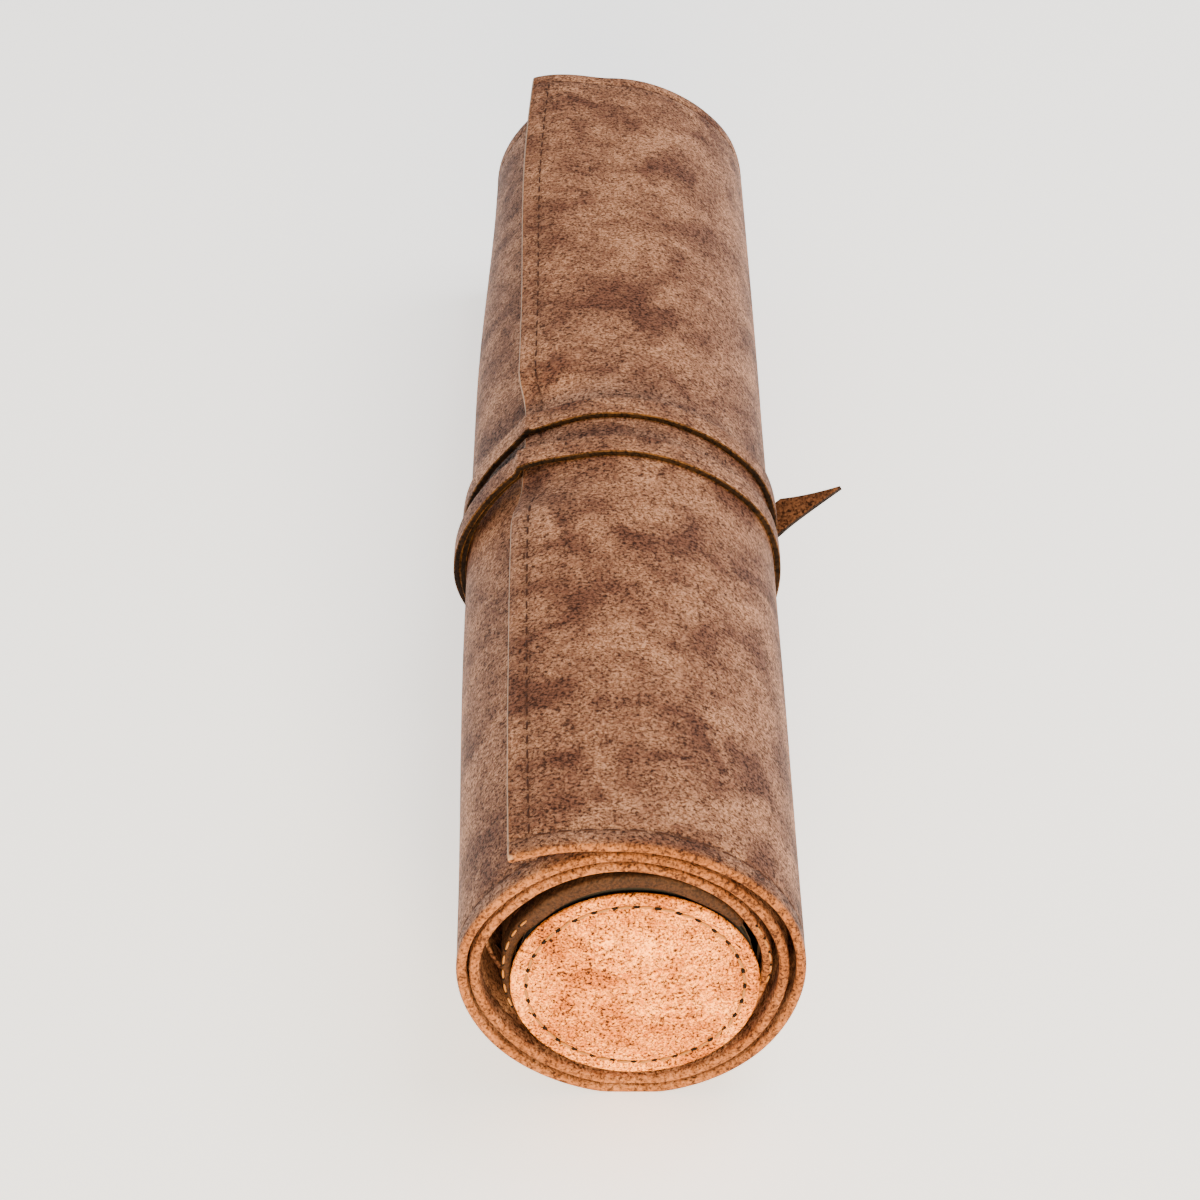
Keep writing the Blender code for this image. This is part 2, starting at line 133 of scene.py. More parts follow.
def flapDrop(angle, y):         # the far corner stands up a little more than the near one
    share = smooth((angle - roll["dropFrom"]) / (roll["flapEnd"] - roll["dropFrom"]))
    rise = roll["farLift"] * smooth((y / roll["length"] - 0.6) / 0.4)
    return share * (roll["flapDrop"] * underStrap(y) - rise)


def pressUp(x, y):
    across = 1 - smooth((abs(x) - press["flatX"]) / (press["fadeX"] - press["flatX"]))
    return press["depth"] * underStrap(y) * across


def wobble(angle, y):           # slow unevenness, the same for every layer
    a = math.radians(angle)
    p = Vector((math.cos(a) * 1.3, math.sin(a) * 1.3, y * 28))
    underside = smooth((math.sin(a) + 0.9) / 0.5)
    return roll["wobble"] * noise.noise(p) * underside


def sideSwell(angle, y):        # the wound layers stand out a little on the left, most in the middle
    side = max(0.0, -math.cos(math.radians(angle))) ** 8 * smooth((angle - 30) / 100)
    return side * steps(roll["swell"], y / mm) * mm


def rollPoint(angle, radius, y):
    a = math.radians(angle)
    radius += wobble(angle, y) + sideSwell(angle, y)
    x, z = radius * math.cos(a), radius * math.sin(a)
    z = max(z, -roll["axisZ"] + roll["outer"] - radius)
    if z < 0:
        z += pressUp(x, y)
    return Vector((x + roll["axisX"], y - roll["length"] / 2, z + roll["axisZ"]))


def outerSurface(angle):
    turned = (angle - 130) % 360 + 490
    return innerRadius(turned) - flapDrop(turned, press["along"][1]) + roll["sheet"]


print("roll shape ready")


def finishPiece(name, bm, mats, body="case", shade=True):
    mesh = bpy.data.meshes.new(name)
    for f in bm.faces:
        f.smooth = shade
    bm.to_mesh(mesh)
    bm.free()
    for m in mats:
        mesh.materials.append(m)
    obj = bpy.data.objects.new(name, mesh)
    scene.collection.objects.link(obj)
    if body:
        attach(obj, body)
    return obj


def station(values, t):         # value at a fractional place in a list
    i = min(int(t), len(values) - 2)
    return values[i] + (values[i + 1] - values[i]) * (t - i)


def flatSlab(alongs, acrosses, thick, round_, segments, cut=None):
    # a flat panel lying in x and y with its thickness in z, edges rounded
    bm = bmesh.new()
    nx, ny = len(alongs) - 1, len(acrosses) - 1
    bmesh.ops.create_grid(bm, x_segments=nx, y_segments=ny, size=0.5)
    for v in bm.verts:
        v.co = (station(alongs, round((v.co.x + 0.5) * nx)), station(acrosses, round((v.co.y + 0.5) * ny)), 0)
    if cut:
        x0, x1, y0, y1 = cut
        hole = [f for f in bm.faces
                if x0 < f.calc_center_median().x < x1 and y0 < f.calc_center_median().y < y1]
        bmesh.ops.delete(bm, geom=hole, context="FACES")
    bmesh.ops.recalc_face_normals(bm, faces=bm.faces)
    if sum(f.normal.z for f in bm.faces) < 0:
        bmesh.ops.reverse_faces(bm, faces=bm.faces)
    bmesh.ops.solidify(bm, geom=bm.faces[:], thickness=thick)
    low = min(v.co.z for v in bm.verts)
    bmesh.ops.translate(bm, vec=(0, 0, -low), verts=bm.verts)
    sharp = [e for e in bm.edges if len(e.link_faces) == 2
             and e.link_faces[0].normal.angle(e.link_faces[1].normal) > 1.0
             and abs(e.verts[0].co.z - e.verts[1].co.z) < 0.2 * thick]
    bmesh.ops.bevel(bm, geom=sharp, offset=round_, segments=segments, affect="EDGES", profile=0.5,
                    clamp_overlap=True, material=-1)
    bmesh.ops.recalc_face_normals(bm, faces=bm.faces)
    return bm


def stitchShape(size, holeSize):    # one stitch and a near-black blob at its end, painted shade for the stitch hole, as plain points and faces
    bm = bmesh.new()
    bead = bmesh.ops.create_uvsphere(bm, u_segments=8, v_segments=5, radius=1)["verts"]
    bmesh.ops.transform(bm, matrix=Matrix.Diagonal((size[0] / 2, size[1] / 2, size[2] / 2, 1))
                        @ Matrix.Rotation(math.pi / 2, 4, "Y"), verts=bead)
    spot = bmesh.ops.create_icosphere(bm, subdivisions=1, radius=1)["verts"]
    bmesh.ops.transform(bm, matrix=Matrix.Translation((size[0] / 2 + holeSize * 0.25, 0, -holeSize * 0.12))
                        @ Matrix.Diagonal((holeSize * 0.5, holeSize * 0.4, holeSize * 0.2, 1)), verts=spot)
    bm.verts.index_update()
    hole = {v.index for v in spot}
    points = [v.co.copy() for v in bm.verts]
    faces = [([v.index for v in f.verts], int(f.verts[0].index in hole)) for f in bm.faces]
    bm.free()
    return points, faces


def stitchRow(bm, seats, size, holeSize):
    # seats: (middle, along, normal) of each stitch; slot 0 is thread, slot 1 the painted shade of the holes
    points, faces = stitchShape(size, holeSize)
    for middle, along, normal in seats:
        across = normal.cross(along).normalized()
        turn = Matrix.Translation(middle) @ Matrix((along, across, normal)).transposed().to_4x4()
        verts = [bm.verts.new(turn @ p) for p in points]
        for corners, kind in faces:
            bm.faces.new([verts[i] for i in corners]).material_index = kind


def addNode(tree, kind, **inputs):
    node = tree.nodes.new(kind)
    for key, value in inputs.items():
        name = key.replace("_", " ")
        if name in node.inputs:
            node.inputs[name].default_value = value
    return node


def newGroup(name, ins, outs):
    group = bpy.data.node_groups.new(name, "ShaderNodeTree")
    for label, kind, default in ins:
        s = group.interface.new_socket(name=label, in_out="INPUT", socket_type=kind)
        if default is not None:
            s.default_value = default
    for label, kind in outs:
        group.interface.new_socket(name=label, in_out="OUTPUT", socket_type=kind)
    return group, group.nodes.new("NodeGroupInput"), group.nodes.new("NodeGroupOutput")


def colourRamp(tree, stops, fac):
    ramp = tree.nodes.new("ShaderNodeValToRGB")
    while len(ramp.color_ramp.elements) < len(stops):
        ramp.color_ramp.elements.new(0.5)
    for element, (pos, value) in zip(ramp.color_ramp.elements, stops):
        element.position = pos
        element.color = (*value, 1) if isinstance(value, tuple) else (value, value, value, 1)
    tree.links.new(fac, ramp.inputs["Fac"])
    return ramp


def mathNode(tree, op, a, b=None):
    node = tree.nodes.new("ShaderNodeMath")
    node.operation = op
    for socket, value in ((node.inputs[0], a), (node.inputs[1], b)):
        if value is None:
            continue
        if isinstance(value, (int, float)):
            socket.default_value = value
        else:
            tree.links.new(value, socket)
    return node.outputs[0]


def mixColour(tree, fac, a, b, mode="MIX"):
    node = tree.nodes.new("ShaderNodeMix")
    node.data_type = "RGBA"
    node.blend_type = mode
    for socket, value in ((node.inputs[0], fac), (node.inputs[6], a), (node.inputs[7], b)):
        if isinstance(value, (int, float)):
            socket.default_value = value
        elif isinstance(value, tuple):
            socket.default_value = (*value, 1)
        else:
            tree.links.new(value, socket)
    return node.outputs[2]


def buildGrainGroup():
    # fine pitted grain, a slow cloudiness and the pale crackle of rubbed spots
    group, gin, gout = newGroup(
        "leatherGrain",
        [("Vector", "NodeSocketVector", None), ("Grain Scale", "NodeSocketFloat", 1900.0),
         ("Cloud Scale", "NodeSocketFloat", 75.0)],
        [("Height", "NodeSocketFloat"), ("Speckle", "NodeSocketFloat"), ("Cloud", "NodeSocketFloat"),
         ("Crackle", "NodeSocketFloat")])
    link = group.links.new

    def noiseAt(scale, detail, roughness, distortion):
        node = addNode(group, "ShaderNodeTexNoise", Detail=detail, Roughness=roughness, Distortion=distortion)
        link(gin.outputs["Vector"], node.inputs["Vector"])
        link(scale, node.inputs["Scale"])
        return node.outputs["Fac"]

    fine = noiseAt(gin.outputs["Grain Scale"], 3.0, 0.65, 0.3)
    blotch = noiseAt(mathNode(group, "MULTIPLY", gin.outputs["Grain Scale"], 0.28), 2.0, 0.6, 0.4)
    cloud = noiseAt(gin.outputs["Cloud Scale"], 5.0, 0.66, 0.45)
    ridge = noiseAt(mathNode(group, "MULTIPLY", gin.outputs["Cloud Scale"], 8.0), 3.0, 0.7, 1.2)
    ridge = mathNode(group, "ABSOLUTE", mathNode(group, "SUBTRACT", ridge, 0.5))
    ridge = mathNode(group, "SUBTRACT", 1.0, mathNode(group, "MULTIPLY", ridge, 11.0))
    ridge = mathNode(group, "MAXIMUM", ridge, 0.0)
    soft = colourRamp(group, [(0.38, 0.0), (0.62, 1.0)], cloud)
    finePart = mathNode(group, "MULTIPLY", fine, 0.84)
    mixed = mathNode(group, "ADD", finePart, mathNode(group, "MULTIPLY", blotch, 0.16))
    lifted = mathNode(group, "ADD", mixed, mathNode(group, "MULTIPLY", cloud, 0.16))   # fewer pits if pale
    speck = colourRamp(group, [(0.47, 0.0), (0.565, 0.50), (0.68, 1.0)], lifted)
    crackle = mathNode(group, "MULTIPLY", ridge, soft.outputs["Color"])
    height = mathNode(group, "ADD", speck.outputs["Color"], mathNode(group, "MULTIPLY", crackle, 0.5))
    link(height, gout.inputs["Height"])
    link(speck.outputs["Color"], gout.inputs["Speckle"])
    link(soft.outputs["Color"], gout.inputs["Cloud"])
    link(crackle, gout.inputs["Crackle"])
    return group


grainGroup = buildGrainGroup()


def leather(name, look):
    # look: cloud colours, how far pits darken and crests lighten them, gloss and grain size
    mat = bpy.data.materials.new(name)
    mat.use_nodes = True
    tree = mat.node_tree
    shader = tree.nodes["Principled BSDF"]
    link = tree.links.new
    coord = tree.nodes.new("ShaderNodeTexCoord")
    place = addNode(tree, "ShaderNodeMapping")
    place.inputs["Location"].default_value = look["shift"]
    link(coord.outputs["Object"], place.inputs["Vector"])
    grain = tree.nodes.new("ShaderNodeGroup")
    grain.node_tree = grainGroup
    grain.inputs["Grain Scale"].default_value = look["grain"]
    grain.inputs["Cloud Scale"].default_value = look["cloud"]
    link(place.outputs["Vector"], grain.inputs["Vector"])
    base = mixColour(tree, grain.outputs["Cloud"], look["dark"], look["light"])
    crackle = mathNode(tree, "MULTIPLY", grain.outputs["Crackle"], look["crackle"])
    base = mixColour(tree, crackle, base, look["rubbed"])
    wear = tree.nodes.new("ShaderNodeAttribute")
    wear.attribute_name = "wear"
    base = mixColour(tree, mathNode(tree, "MULTIPLY", wear.outputs["Fac"], look["wear"]), base, look["worn"])
    fleck = mixColour(tree, grain.outputs["Speckle"], look["pit"], look["crest"])
    base = mixColour(tree, 1.0, base, fleck, "MULTIPLY")
    # painted highlight: a pale line along the top of the flap's long edge, where the rim attribute is set
    rim = tree.nodes.new("ShaderNodeAttribute")
    rim.attribute_name = "rim"
    base = mixColour(tree, rim.outputs["Fac"], base, look["paintedHighlightColour"])
    # painted shade: a vertex mask darkens the tongue, which lies in shade under the layer above it, and a
    # little along the stitch channels
    paintedShade = tree.nodes.new("ShaderNodeAttribute")
    paintedShade.attribute_name = "paintedShade"
    base = mixColour(tree, mathNode(tree, "MULTIPLY", paintedShade.outputs["Fac"], 0.9), base, look["tarnishAndPaintedShade"])
    link(base, shader.inputs["Base Color"])
    rough = mathNode(tree, "ADD", mathNode(tree, "MULTIPLY", grain.outputs["Speckle"], -0.14), look["rough"])
    link(rough, shader.inputs["Roughness"])
    bump = addNode(tree, "ShaderNodeBump", Strength=look["bump"], Distance=0.00012)
    link(grain.outputs["Height"], bump.inputs["Height"])
    link(bump.outputs["Normal"], shader.inputs["Normal"])
    shader.inputs["Specular IOR Level"].default_value = look["specular"]
    return mat


bodyLook = {"dark": (0.108, 0.043, 0.025), "light": (0.170, 0.075, 0.041), "rubbed": (0.40, 0.205, 0.12),
            "crackle": 0.9, "pit": (0.20, 0.16, 0.14), "crest": (1.75, 1.72, 1.70), "wear": 0.8,
            # the near-black tone on the next line is painted shade for the tongue and the stitch channels,
            # and the pale tone after it a painted highlight along the flap's edge
            "worn": (0.165, 0.050, 0.006), "tarnishAndPaintedShade": (0.012, 0.005, 0.002), "paintedHighlightColour": (0.40, 0.28, 0.21),
            "grain": 2300.0, "cloud": 105.0, "rough": 0.68, "bump": 0.5, "specular": 0.12, "shift": (0, 0, 0)}
leatherBody = leather("mottledLeather", bodyLook)
# the end discs get a brighter, more orange copy of the body leather: painted light for the front-lit end
# faces
leatherDiscPaintedLight = leather("discLeatherPaintedLight", {**bodyLook, "dark": (0.25, 0.072, 0.008), "light": (0.33, 0.098, 0.011),
                                      "pit": (0.05, 0.03, 0.02), "crest": (2.5, 2.2, 1.6), "specular": 0.1,
                                      "shift": (0.3, 0.1, 0.2), "grain": 2900.0, "cloud": 130.0,
                                      "rubbed": (0.62, 0.28, 0.09), "wear": 0.2})
leatherStrap = leather("strapLeather", {**bodyLook, "shift": (0.7, 0.2, 0.4), "cloud": 95.0, "wear": 0.2})
leatherEdge = leather("strapCutEdge", {**bodyLook, "dark": (0.006, 0.0025, 0.001),
                                       "light": (0.014, 0.006, 0.002), "crackle": 0.0, "wear": 0.0,
                                       "specular": 0.06})
leatherBorder = leather("strapBorder", {**bodyLook, "dark": (0.045, 0.019, 0.005),
                                        "light": (0.085, 0.037, 0.010), "crackle": 0.0, "wear": 0.0,
                                        "specular": 0.06})
leatherSuede = leather("strapSuede", {**bodyLook, "dark": (0.050, 0.020, 0.010),
                                      "light": (0.075, 0.032, 0.016), "crackle": 0.0, "wear": 0.0,
                                      "rough": 0.95, "specular": 0.1})


def thread(name, colour, rough):
    mat = bpy.data.materials.new(name)
    mat.use_nodes = True
    tree = mat.node_tree
    shader = tree.nodes["Principled BSDF"]
    coord = tree.nodes.new("ShaderNodeTexCoord")
    wave = addNode(tree, "ShaderNodeTexNoise", Scale=3500.0, Detail=2.0)
    tree.links.new(coord.outputs["Object"], wave.inputs["Vector"])
    dark = tuple(c * 0.55 for c in colour)
    tree.links.new(mixColour(tree, wave.outputs["Fac"], dark, colour), shader.inputs["Base Color"])
    bump = addNode(tree, "ShaderNodeBump", Strength=0.6, Distance=0.0001)
    tree.links.new(wave.outputs["Fac"], bump.inputs["Height"])
    tree.links.new(bump.outputs["Normal"], shader.inputs["Normal"])
    shader.inputs["Roughness"].default_value = rough
    shader.inputs["Specular IOR Level"].default_value = 0.12
    return mat


threadDark = thread("threadBrown", (0.055, 0.019, 0.009), 0.6)
threadLight = thread("threadGold", (0.34, 0.14, 0.035), 0.5)
# near-black blobs at the stitch ends: painted shade inside the stitch holes
holeShadePainted = thread("stitchHolePaintedShade", (0.006, 0.003, 0.002), 0.9)


def woven(name, colour, scale):
    mat = bpy.data.materials.new(name)
    mat.use_nodes = True
    tree = mat.node_tree
    shader = tree.nodes["Principled BSDF"]
    coord = tree.nodes.new("ShaderNodeTexCoord")
    grid = addNode(tree, "ShaderNodeTexBrick", Scale=scale, Mortar_Size=0.03)
    tree.links.new(coord.outputs["Object"], grid.inputs["Vector"])
    fuzz = addNode(tree, "ShaderNodeTexNoise", Scale=1500.0, Detail=3.0)
    tree.links.new(coord.outputs["Object"], fuzz.inputs["Vector"])
    dark = tuple(c * 0.5 for c in colour)
    tree.links.new(mixColour(tree, fuzz.outputs["Fac"], dark, colour), shader.inputs["Base Color"])
    bump = addNode(tree, "ShaderNodeBump", Strength=0.5, Distance=0.0002)
    tree.links.new(grid.outputs["Fac"], bump.inputs["Height"])
    tree.links.new(bump.outputs["Normal"], shader.inputs["Normal"])
    shader.inputs["Roughness"].default_value = 0.9
    return mat


def brass(name):
    mat = bpy.data.materials.new(name)
    mat.use_nodes = True
    tree = mat.node_tree
    shader = tree.nodes["Principled BSDF"]
    coord = tree.nodes.new("ShaderNodeTexCoord")
    tarnishAndPaintedShade = addNode(tree, "ShaderNodeTexNoise", Scale=420.0, Detail=4.0)
    tree.links.new(coord.outputs["Object"], tarnishAndPaintedShade.inputs["Vector"])
    tree.links.new(mixColour(tree, tarnishAndPaintedShade.outputs["Fac"], (0.30, 0.18, 0.06), (0.72, 0.52, 0.24)),
                   shader.inputs["Base Color"])
    ramp = colourRamp(tree, [(0.3, 0.28), (0.7, 0.5)], tarnishAndPaintedShade.outputs["Fac"])
    tree.links.new(ramp.outputs["Color"], shader.inputs["Roughness"])
    shader.inputs["Metallic"].default_value = 1.0
    return mat


finishes = {"brass": brass("agedBrass"), "tape": woven("zipTape", (0.07, 0.035, 0.022), 900.0),
            "lining": woven("liningCloth", (0.12, 0.062, 0.038), 1100.0),
            # the stiffener board is dark in its own colour and is made near black as painted shade, since it
            # lies in shadow
            "board": woven("stiffener", (0.006, 0.004, 0.003), 500.0)}
nodeFinish = {
    "lining": ("drum_lining", "end_lining_near", "end_lining_far"),
    "board": ("end_board_near", "end_board_far"),
    "tape": ("zip_tape_a", "zip_tape_b"),
    "brass": ("zip_teeth_a", "zip_teeth_b", "zip_stop_near", "zip_stop_far", "zip_slider", "zip_slider_back",
              "zip_pull")}
for finish, nodeNames in nodeFinish.items():
    for nodeName in nodeNames:
        for materialSlot in nodes[nodeName].material_slots:
            materialSlot.material = finishes[finish]
print("materials ready")

sheetLook = {"edgeRound": 0.62 * mm, "roundSegments": 5, "stitchInset": 3.0 * mm, "pitch": 2.9 * mm,
             "stitch": (2.15 * mm, 0.42 * mm, 0.34 * mm), "hole": 0.55 * mm, "channel": 0.13 * mm,
             "step": 1.0 * mm}

angleTable = np.linspace(roll["tongueEnd"], roll["flapEnd"], 2400)
midRadii = np.interp(angleTable, radiusAngles, radiusTable) + roll["sheet"] / 2
midPoints = np.stack([midRadii * np.cos(np.radians(angleTable)), midRadii * np.sin(np.radians(angleTable))])
lengthTable = np.concatenate([[0], np.cumsum(np.hypot(*np.diff(midPoints, axis=1)))])
sheetLength = float(lengthTable[-1])
endTurn = (angleTable[-1] - angleTable[-2]) / (lengthTable[-1] - lengthTable[-2])
flapBulge = [(0, 0), (30, 0.8), (60, 1.3), (78, 1.2), (92, 0.7), (106, 0.8), (130, 0.7), (165, 0.3),
             (185, -0.5), (203, -1.5)]


hem = {"thick": 0.8 * mm, "growOver": 30, "fadeFrom": -215, "fadeOver": 40}      # angles in degrees


def angleAt(s):
    return float(np.interp(s, lengthTable, angleTable))


def lengthAt(angle):
    return float(np.interp(angle, angleTable, lengthTable))


def onSheet(s, y, height):      # a flat-panel place, height 0 inside to 1 outside
    s += curveThrough(flapBulge, y / mm) * mm * smooth((s - sheetLength + 30 * mm) / (30 * mm))
    angle = angleAt(s) if s < sheetLength else roll["flapEnd"] + (s - sheetLength) * endTurn
    recess = edgeRecess(angle)
    y = recess + y * (roll["length"] - 2 * recess) / roll["length"]
    thick = roll["sheet"] + tongueExtra(angle)
    return rollPoint(angle, innerRadius(angle) - flapDrop(angle, y) + roll["sheet"] - thick * (1 - height), y)


def tongueExtra(angle):         # turned-in hem that thickens the tongue
    grown = smooth((angle - roll["tongueEnd"]) / hem["growOver"])
    return hem["thick"] * grown * (1 - smooth((angle - hem["fadeFrom"]) / hem["fadeOver"]))


def channelDepth(s, y):         # the thread draws the leather in along the stitch line
    inset = sheetLook["stitchInset"]
    gap = min(abs(y - inset), abs(roll["length"] - inset - y), abs(sheetLength - inset - s))
    return math.exp(-(gap / (0.5 * mm)) ** 2)


def yStations():
    inset = sheetLook["stitchInset"]
    edge = [0, 1.3 * mm, inset - 0.7 * mm, inset - 0.3 * mm, inset, inset + 0.3 * mm, inset + 0.7 * mm,
            inset + 2 * mm]
    a, b, c, d = press["along"]
    middle = list(np.arange(10 * mm, a, 9 * mm)) + list(np.arange(a, d + mm, 3 * mm))
    middle += list(np.arange(d + 8 * mm, roll["length"] - 9 * mm, 9 * mm))
    return edge + middle + [roll["length"] - v for v in reversed(edge)]


zipSlot = {"angles": (-206.0, -184.0), "along": (14 * mm, 189 * mm)}      # opening that the zip lies in


def makeSheet():
    count = round(sheetLength / sheetLook["step"])
    inset = sheetLook["stitchInset"]
    alongs = [sheetLength * i / count for i in range(count + 1)]
    slot = [lengthAt(angle) for angle in zipSlot["angles"]]
    for place in slot + [sheetLength - inset]:
        nearest = min(range(count + 1), key=lambda i: abs(alongs[i] - place))
        alongs[nearest] = place
    acrosses = yStations()
    for place in zipSlot["along"]:
        nearest = min(range(len(acrosses)), key=lambda i: abs(acrosses[i] - place))
        acrosses[nearest] = place
    bm = flatSlab(alongs, acrosses, roll["sheet"], sheetLook["edgeRound"], sheetLook["roundSegments"],
                  cut=(*slot, *zipSlot["along"]))
    wear = bm.verts.layers.float.new("wear")
    paintedShade = bm.verts.layers.float.new("paintedShade")
    rim = bm.verts.layers.float.new("rim")
    for v in bm.verts:
        s, y, h = v.co
        # painted highlight: a pale line on the top face at the flap's long edge
        v[rim] = 0.75 if h > 0.6 * roll["sheet"] and 0 < sheetLength - s < 0.5 * mm else 0.0
        # painted shade mask: full over the tongue, which lies in shade under the layer above it, and a little
        # along the stitch channels
        v[paintedShade] = max(1 - smooth((angleAt(s) + 160) / 60), 0.28 * channelDepth(s, y))
        height = h / roll["sheet"]
        margin = min(y, roll["length"] - y, sheetLength - s, s)
        v[wear] = max(0.0, 1 - margin / (0.9 * mm))
        if 0.02 < height < 0.98:
            depth = 0
        else:
            depth = channelDepth(s, y) * sheetLook["channel"] / roll["sheet"] * (1 if height > 0.5 else -1)
        v.co = onSheet(s, y, height - depth)
    bmesh.ops.recalc_face_normals(bm, faces=bm.faces)
    return finishPiece("wrapSheet", bm, [leatherBody])


wrapSheet = makeSheet()
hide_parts("wrap_leather", "wrap_lining", "drum_wall")
print("sheet rolled,", round(sheetLength * 1000), "mm long")


def sheetSeats(run, side, fixed):   # stitches along the sheet ("along") or across it ("across")
    seats = []
    size = sheetLook["stitch"]
    total = sheetLength if run == "along" else roll["length"]
    inset = sheetLook["stitchInset"]
    count = round((total - 2 * inset) / sheetLook["pitch"])
    height = 1.0 if side > 0 else 0.0
    for i in range(count):
        t = inset + (total - 2 * inset) * (i + 0.5) / count
        s, y = (t, fixed) if run == "along" else (fixed, t)
        ds, dy = (0.3 * mm, 0) if run == "along" else (0, 0.3 * mm)
        middle = onSheet(s, y, height)
        along = (onSheet(s + ds, y + dy, height) - onSheet(s - ds, y - dy, height)).normalized()
        other = (onSheet(s + dy, y + ds, height) - onSheet(s - dy, y - ds, height)).normalized()
        normal = along.cross(other).normalized()
        outward = onSheet(s, y, 1.0) - onSheet(s, y, 0.0)
        if normal.dot(outward) * side < 0:
            normal.negate()
        sunk = sheetLook["channel"] + size[2] * 0.18
        tilt = along + normal.cross(along) * random.uniform(-0.06, 0.06)
        seats.append((middle - normal * sunk, tilt.normalized(), normal))
    return seats


wallSeam = {"ranges": ((-212, -148), (-14, 30)), "pitch": 2.4 * mm, "height": 0.80,
            "stitch": (1.6 * mm, 0.34 * mm, 0.30 * mm), "hole": 0.5 * mm, "proud": 0.02 * mm}


def sewWall():                  # pale thread along the outer border of the pouch's edge
    seats = []
    for low, high in wallSeam["ranges"]:
        count = round((lengthAt(high) - lengthAt(low)) / wallSeam["pitch"])
        for i in range(count):
            s = lengthAt(low) + (i + 0.5) * wallSeam["pitch"]
            for y, facing in ((0, -1), (roll["length"], 1)):
                middle = onSheet(s, y, wallSeam["height"])
                along = onSheet(s + 0.3 * mm, y, wallSeam["height"]) - middle
                seats.append((middle + Vector((0, facing * wallSeam["proud"], 0)), along.normalized(),
                              Vector((0, facing, 0))))
    bm = bmesh.new()
    stitchRow(bm, seats, wallSeam["stitch"], wallSeam["hole"])
    finishPiece("wallSeam", bm, [threadLight, holeShadePainted])


sewWall()

random.seed(7)
seamEdges = bmesh.new()
for side in (1, -1):
    for y in (sheetLook["stitchInset"], roll["length"] - sheetLook["stitchInset"]):
        stitchRow(seamEdges, sheetSeats("along", side, y), sheetLook["stitch"], sheetLook["hole"])
    stitchRow(seamEdges, sheetSeats("across", side, sheetLength - sheetLook["stitchInset"]),
              sheetLook["stitch"], sheetLook["hole"])
finishPiece("sheetSeam", seamEdges, [threadDark, holeShadePainted])
print("sheet seam sewn")

pocket = {"angles": (180, 216), "y": (9 * mm, 194 * mm), "thick": 0.55 * mm, "round": 0.2 * mm,
          "seam": 2.4 * mm, "pitch": 2.9 * mm}


def onPocket(s, y, height):
    angle = angleAt(s)
    return rollPoint(angle, innerRadius(angle) - 0.05 * mm - pocket["thick"] * (1 - height), y)


def makePocket():
    s0, s1 = (lengthAt(a) for a in pocket["angles"])
    y0, y1 = pocket["y"]
    alongs = list(np.linspace(s0, s1, 16))
    acrosses = [y0, y0 + 1.2 * mm] + list(np.linspace(y0 + 2.4 * mm, y1 - 2.4 * mm, 24)) + [y1 - 1.2 * mm, y1]
    bm = flatSlab(alongs, acrosses, pocket["thick"], pocket["round"], 3)
    for v in bm.verts:
        s, y, h = v.co
        v.co = onPocket(s, y, h / pocket["thick"])
    bmesh.ops.recalc_face_normals(bm, faces=bm.faces)
    panel = finishPiece("pocketPanel", bm, [leatherBody])
    seats = []
    for y in (y0 + pocket["seam"], y1 - pocket["seam"]):
        count = round((s1 - s0) / pocket["pitch"])
        for i in range(count):
            s = s0 + (s1 - s0) * (i + 0.5) / count
            middle = onPocket(s, y, 0)
            along = (onPocket(s + 0.3 * mm, y, 0) - onPocket(s - 0.3 * mm, y, 0)).normalized()
            normal = (onPocket(s, y, 0) - onPocket(s, y, 1)).normalized()
            seats.append((middle, along, normal))
    bm = bmesh.new()
    stitchRow(bm, seats, sheetLook["stitch"], sheetLook["hole"])
    finishPiece("pocketSeam", bm, [threadDark, holeShadePainted])
    return panel


pocketPanel = makePocket()
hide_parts("pocket_panel")
print("pocket ready")

disc = {"front": 0.25 * mm, "thick": 1.2 * mm, "crown": 0.35 * mm, "seamRadius": 13.8 * mm,
        "seamDepth": 0.24 * mm, "welt": 0.22 * mm, "rim": 0.55 * mm, "stitches": 32,
        "stitch": (1.9 * mm, 0.46 * mm, 0.42 * mm), "hole": 1.15 * mm}


def discProfile():              # (radius, depth behind the front) from the middle to the back
    r = pouch["discWide"]
    seam = disc["seamRadius"]
    points = []
    for share in (0, 0.12, 0.25, 0.38, 0.5, 0.6, 0.7, 0.78, 0.84):
        points.append((r * share, disc["crown"] * share ** 2))
    base = disc["crown"] * (seam / r) ** 2
    for off, depth in ((-0.5, 0.08), (-0.28, 0.5), (-0.1, 0.92), (0.1, 0.92), (0.28, 0.5), (0.5, 0.1)):
        points.append((seam + off * mm, base + disc["seamDepth"] * depth))
    points.append((seam + 0.95 * mm, base - disc["welt"] * 0.6))
    for turn in range(0, 91, 15):
        a = math.radians(turn)
        points.append((r - disc["rim"] * (1 - math.sin(a)),
                       base - 0.05 * mm + disc["rim"] * (1 - math.cos(a))))
    points.append((r, disc["thick"] - 0.3 * mm))
    points.append((r - 0.25 * mm, disc["thick"]))
    points.append((0, disc["thick"]))
    return points


